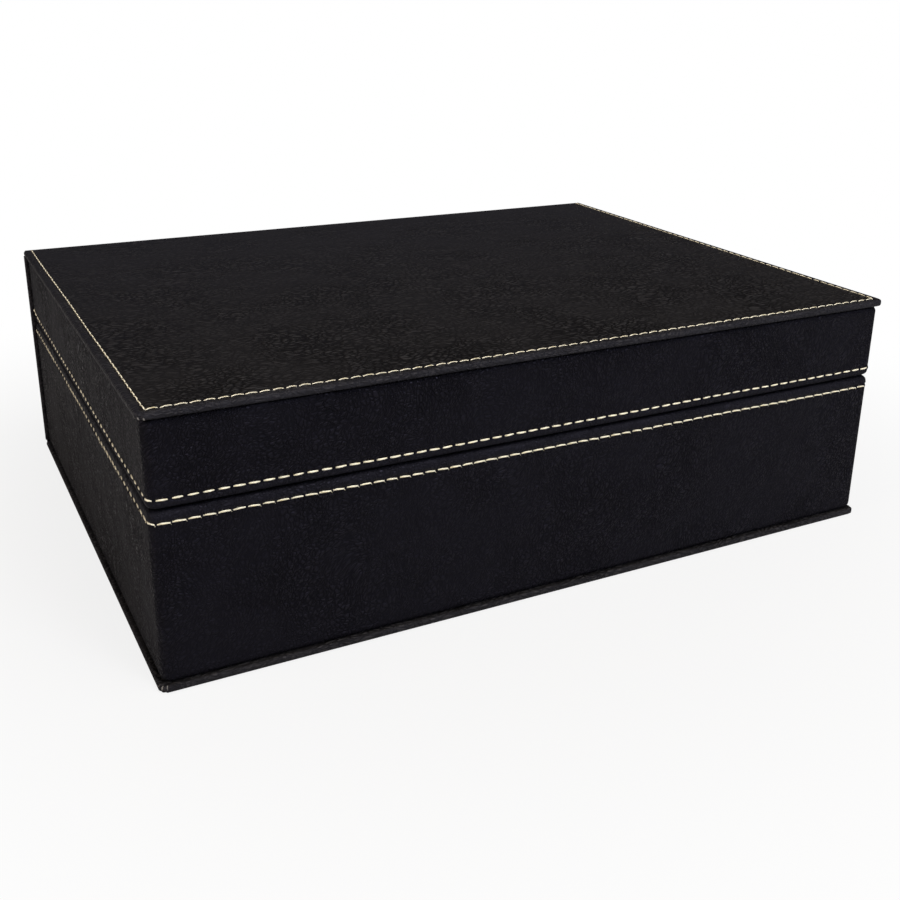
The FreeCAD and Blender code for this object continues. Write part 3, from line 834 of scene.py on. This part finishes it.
    def along_top(self, node, seam, depth):
        """The path of the row on the top: left edge from the back, along the front, back on the right."""
        low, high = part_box(node)
        side = high.y - low.y - seam
        front = high.x - low.x - 2 * seam

        def path(along, aside, lift):
            if along > side + front:
                spot = Vector((high.x - seam, low.y + seam + along - side - front))
                out = Vector((1, 0))
            elif along > side:
                spot = Vector((low.x + seam + along - side, low.y + seam))
                out = Vector((0, -1))
            else:
                spot = Vector((low.x + seam, high.y - along))
                out = Vector((-1, 0))
            spot += out * (aside + self.wander(along, 0) / 2)
            return Vector((spot.x, spot.y, high.z - depth + lift))

        return path, (side, front, side)

    def execute(self, context):
        sizes, thread = context.scene.giftbox_leatherette, context.scene.giftbox_thread
        finish = waxed_thread(thread)
        chance = random.Random(5)
        thick, depth = thread.thickness, thread.channel_depth
        for body, seam, count, shape, share, up, climb in (
                ("base", thread.base_seam, thread.base_count, self.HOOKED, self.BASE_SHARE, 1, 0),
                ("lid", thread.lid_seam, thread.lid_count, self.STRAIGHT, self.LID_SHARE, -1, thread.climb)):
            node = body + "_wrap"
            low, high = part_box(node)
            level = high.z - seam if up > 0 else low.z + seam
            path = self.round_tray(node, sizes.tray_corner, depth, level, climb)
            pitch = round_trip(node, sizes.tray_corner) / count
            stitch = self.stitch(pitch * share, thick, shape)
            spots = [pitch * (number + FIRST_STITCH) for number in range(count)]
            row = self.sew(body + "_stitches", stitch, spots, path, chance)
            dress(row, finish)
            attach(row, body)

        path, runs = self.along_top("top_cover", thread.top_seam, depth)
        spots = []
        start = 0
        for run in runs:
            count = round(run / thread.top_pitch)
            spots += [start + run / count * (number + 0.5) for number in range(count)]
            start += run
        stitch = self.stitch(thread.top_pitch, thick, self.ARCHED)
        row = self.sew("top_stitches", stitch, spots, path, chance)
        dress(row, finish)
        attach(row, "lid")
        return {"FINISHED"}


class GIFTBOX_OT_linings(bpy.types.Operator):
    """Stretch satin over the cards on the tray walls"""
    bl_idname = "giftbox.linings"
    bl_label = "Wall linings"
    ROUND = 0.42  # rounding of the edges at the rim, as a share of the card's thickness
    PARTS = 24  # lengths that a card is cut into
    BAND = 0.0008  # the satin is gathered this near the rim,
    GATHER = 0.00012  # drawn in by this much, more or less,
    GATHERS = 90  # so many times to the metre

    def panel(self, name, node, rim_up):
        low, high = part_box(node)
        across = X if high.x - low.x > high.y - low.y else Y
        through = Y if across == X else X
        rim = high.z if rim_up else low.z
        piece = begin_block(name, low, high)
        pick(piece, "EDGE", lambda edge: at(edge, Z, rim) and not at(edge, across, low[across])
             and not at(edge, across, high[across]))
        bevel((high - low)[through] * self.ROUND, 4)
        for number in range(1, self.PARTS):
            cut(across, low.lerp(high, number / self.PARTS)[across])
        to_mode("OBJECT")
        for point in piece.data.vertices:
            if abs(point.co.z - rim) < self.BAND:
                wave = noise.noise(point.co * self.GATHERS)
                point.co.z += (-1 if rim_up else 1) * self.GATHER * (1 + wave)
        bpy.ops.object.shade_smooth_by_angle(angle=SMOOTH)
        apply_modifier(piece, "WEIGHTED_NORMAL", keep_sharp=True)
        return piece

    def execute(self, context):
        finish = satin(context.scene.giftbox_satin)
        for body, rim_up in (("base", True), ("lid", False)):
            for side in SIDES:
                node = "%s_%s_lining" % (body, side)
                piece = self.panel("%s_%s_satin" % (body, side), node, rim_up)
                seat(piece, finish, body, "satin", node)
        return {"FINISHED"}


class GIFTBOX_OT_pads(bpy.types.Operator):
    """Blow up the satin pads on the floor of the base and inside the lid"""
    bl_idname = "giftbox.pads"
    bl_label = "Satin pads"
    SLACK = 0.0015  # the pad starts smaller than it ends, all round,
    FLAT = 0.002  # and lower
    CORNER = 0.004  # rounding of its upright corners
    FRAMES = 20  # of the simulation
    MOST = 0.003  # no point is blown further than this
    GATHERS = 150  # of the satin along its edges, to the metre,
    GATHER_RUN = 0.02  # that die out this far in
    DROP = 0.0004  # how far the edges are drawn down,
    DROP_RUN = 0.006  # over this width

    def pad(self, name, node, sizes, up):
        low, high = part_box(node)
        back = low.z if up > 0 else high.z
        inset = Vector((self.SLACK, self.SLACK, 0))
        start_low, start_high = low + inset, high - inset
        if up > 0:
            start_high.z -= self.FLAT
        else:
            start_low.z += self.FLAT
        piece = begin_block(name, start_low, start_high)
        pick(piece, "EDGE", upright)
        bevel(self.CORNER, 4)
        to_mode("OBJECT")
        apply_modifier(piece, "REMESH", mode="VOXEL", voxel_size=sizes.voxel)
        rest = [point.co.copy() for point in piece.data.vertices]
        held = [index for index, co in enumerate(rest) if abs(co.z - back) < sizes.voxel * 0.3]
        group = piece.vertex_groups.new(name="glued")
        group.add(held, 1.0, "REPLACE")
        bpy.ops.object.modifier_add(type="CLOTH")
        cloth = piece.modifiers[-1]
        cloth.settings.use_pressure = True
        cloth.settings.uniform_pressure_force = sizes.pressure
        cloth.settings.effector_weights.gravity = 0
        cloth.settings.vertex_group_mass = group.name
        scene = bpy.context.scene
        cloth.point_cache.frame_end = self.FRAMES
        for number in range(1, self.FRAMES + 1):
            scene.frame_set(number)
        bpy.ops.object.modifier_apply(modifier=cloth.name)
        scene.frame_set(1)
        piece.vertex_groups.clear()
        for point, before in zip(piece.data.vertices, rest):
            move = point.co - before
            if move.length > self.MOST:
                point.co = before + move * (self.MOST / move.length)
        apply_modifier(piece, "SUBSURF", levels=1, render_levels=1)
        self.settle(piece, low, high, up, sizes)
        bpy.ops.object.shade_smooth()
        return piece

    def settle(self, piece, low, high, up, sizes):
        """Fit the pad between the linings, with its crown at its real height, and gather its edges."""
        points = piece.data.vertices
        found_low = Vector([min(point.co[axis] for point in points) for axis in range(3)])
        found_high = Vector([max(point.co[axis] for point in points) for axis in range(3)])
        found = [found_high[axis] - found_low[axis] for axis in range(3)]
        for point in points:
            share = [(point.co[axis] - found_low[axis]) / found[axis] for axis in range(3)]
            point.co = [low[axis] + share[axis] * (high[axis] - low[axis]) for axis in range(3)]
            edge = min(point.co.x - low.x, high.x - point.co.x, point.co.y - low.y, high.y - point.co.y)
            height = share[Z] if up > 0 else 1 - share[Z]
            if height > 0.3:
                ripple = noise.noise((point.co.x * self.GATHERS, point.co.y * self.GATHERS, 1.0))
                gather = sizes.pucker * ripple * max(0, 1 - edge / self.GATHER_RUN)
                point.co.z += up * (gather - self.DROP * max(0, 1 - edge / self.DROP_RUN))

    def execute(self, context):
        sizes = context.scene.giftbox_satin
        finish = satin(sizes)
        for body, up in (("base", 1), ("lid", -1)):
            node = body + "_pad_satin"
            piece = self.pad(body + "_pad", node, sizes, up)
            seat(piece, finish, body, "satin", node, body + "_pad_foam")
        return {"FINISHED"}


class GIFTBOX_OT_boards(bpy.types.Operator):
    """Give the boards, walls, floors, magnets and the paper inside the spine their own materials"""
    bl_idname = "giftbox.boards"
    bl_label = "Boards and magnets"

    def execute(self, context):
        greyboard = pressed_board("greyboard", "9a9489", "6f6a61", 0.0011, 0.9)
        fibreboard = pressed_board("fibreboard", "a9835a", "7c5a39", 0.0008, 0.85)
        paper = pressed_board("black lining paper", "1d1c1e", "121113", 0.0006, 0.8)
        metal = plated_magnet()
        walls = ["%s_%s_wall" % (tray, side) for tray in ("base", "lid") for side in SIDES]
        for nodes, material in (
                (("top_board", "bottom_board", "spine_board", "base_floor", "lid_ceiling"), greyboard),
                (walls, fibreboard), (("spine_lining",), paper), (("base_magnets", "lid_magnets"), metal)):
            for node in nodes:
                dress(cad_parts[node], material)
        return {"FINISHED"}


class GIFTBOX_OT_stage(bpy.types.Operator):
    """Lay a pale floor, hang the soft lamps and set up the camera"""
    bl_idname = "giftbox.stage"
    bl_label = "Stage"
    FLOOR_SIZE = 30
    FLOOR_DROP = 0.0001  # keeps the floor clear of the box's under face
    SHADOW_FADE = (0.13, 0.36)  # distances from the middle between which the shadow fades to white
    SHADOW_WHITE = 0.82  # share of white in the shadow under the box
    AIM = Vector((0, 0, 0.05))  # where the lamps point
    SENSOR = 36  # millimetres across

    def floor(self, look):
        """Pale paint that takes the shadow of the box, and is plain white to the camera further away."""
        place = (0, 0, -self.FLOOR_DROP)
        piece = begin("floor", bpy.ops.mesh.primitive_plane_add, size=self.FLOOR_SIZE, location=place)
        to_mode("OBJECT")
        material, tree, where = new_material("painted studio floor")
        away = add(tree, "VectorMath", {0: where}, operation="LENGTH").outputs["Value"]
        near, far = self.SHADOW_FADE
        share = ramp(
            tree, away, {"From Min": near, "From Max": far, "To Min": self.SHADOW_WHITE},
            interpolation_type="SMOOTHSTEP")
        share = maths(tree, "MULTIPLY", add(tree, "LightPath").outputs["Is Camera Ray"], share)
        paint = add(tree, "BsdfDiffuse", {"Color": look.floor}).outputs[0]
        white = add(tree, "Emission", {"Strength": 1.0}).outputs[0]
        mixed = add(tree, "MixShader", {0: share, 1: paint, 2: white}).outputs[0]
        add(tree, "OutputMaterial", {"Surface": mixed})
        dress(piece, material)

    def lamp(self, name, power, place, size, tone):
        data = bpy.data.lights.new(name, "AREA")
        data.energy = power
        data.shape = "DISK"
        data.size = size
        data.color = colour(tone)[:3]
        lamp = bpy.data.objects.new(name, data)
        bpy.context.collection.objects.link(lamp)
        lamp.location = place
        lamp.rotation_euler = (self.AIM - Vector(place)).to_track_quat("-Z", "Y").to_euler()

    def surroundings(self, scene):
        world = bpy.data.worlds.new("white room")
        world.use_nodes = True
        tree = world.node_tree
        tree.nodes.clear()
        seen = add(tree, "LightPath").outputs["Is Camera Ray"]
        dim = add(tree, "Background", {"Color": colour("ecebee"), "Strength": 0.055})
        white = add(tree, "Background", {"Color": (1, 1, 1, 1), "Strength": 1.0})
        mixed = add(tree, "MixShader", {0: seen, 1: dim.outputs[0], 2: white.outputs[0]})
        add(tree, "OutputWorld", {"Surface": mixed.outputs[0]})
        scene.world = world

    def execute(self, context):
        scene = context.scene
        look = scene.giftbox_stage
        self.floor(look)
        self.surroundings(scene)
        self.lamp("left softbox", look.left, (-1.5, -0.1, 0.9), 1.0, "fff3ea")
        self.lamp("top softbox", look.above, (0.15, -0.65, 1.45), 1.2, "fff9f2")
        self.lamp("right fill", look.right, (0.5, -1.55, 1.15), 0.7, "eaf0ff")
        data = bpy.data.cameras.new("camera")
        data.lens = look.lens
        data.sensor_width = self.SENSOR
        data.shift_x, data.shift_y = look.shift
        camera = bpy.data.objects.new("camera", data)
        context.collection.objects.link(camera)
        camera.location = look.camera
        camera.rotation_euler = look.turn
        scene.camera = camera
        scene.view_settings.view_transform = "Standard"
        return {"FINISHED"}


class GIFTBOX_PT_panel(bpy.types.Panel):
    bl_idname = "GIFTBOX_PT_panel"
    bl_label = "Gift Box"
    bl_space_type = "VIEW_3D"
    bl_region_type = "UI"
    bl_category = "Gift Box"

    def draw(self, context):
        for group in GROUPS:
            column = self.layout.column(align=True)
            for name in GROUPS[group].__annotations__:
                column.prop(getattr(context.scene, group), name)
        for operator in OPERATORS:
            self.layout.operator(operator.bl_idname)


GROUPS = {
    "giftbox_leatherette": GiftBoxLeatherette,
    "giftbox_thread": GiftBoxThread,
    "giftbox_satin": GiftBoxSatin,
    "giftbox_stage": GiftBoxStage,
}
OPERATORS = (
    GIFTBOX_OT_stage, GIFTBOX_OT_boards, GIFTBOX_OT_board_covers, GIFTBOX_OT_spine, GIFTBOX_OT_tray_wraps,
    GIFTBOX_OT_stitches, GIFTBOX_OT_linings, GIFTBOX_OT_pads)


def register():
    for group, kind in GROUPS.items():
        bpy.utils.register_class(kind)
        setattr(bpy.types.Scene, group, PointerProperty(type=kind))
    for kind in OPERATORS + (GIFTBOX_PT_panel,):
        bpy.utils.register_class(kind)


def unregister():
    for kind in (GIFTBOX_PT_panel,) + OPERATORS:
        bpy.utils.unregister_class(kind)
    for group, kind in GROUPS.items():
        delattr(bpy.types.Scene, group)
        bpy.utils.unregister_class(kind)


def main():
    register()
    bpy.ops.giftbox.stage()
    bpy.ops.giftbox.boards()
    bpy.ops.giftbox.board_covers()
    bpy.ops.giftbox.spine()
    bpy.ops.giftbox.tray_wraps()
    bpy.ops.giftbox.stitches()
    bpy.ops.giftbox.linings()
    bpy.ops.giftbox.pads()


if __name__ == "__main__":
    main()
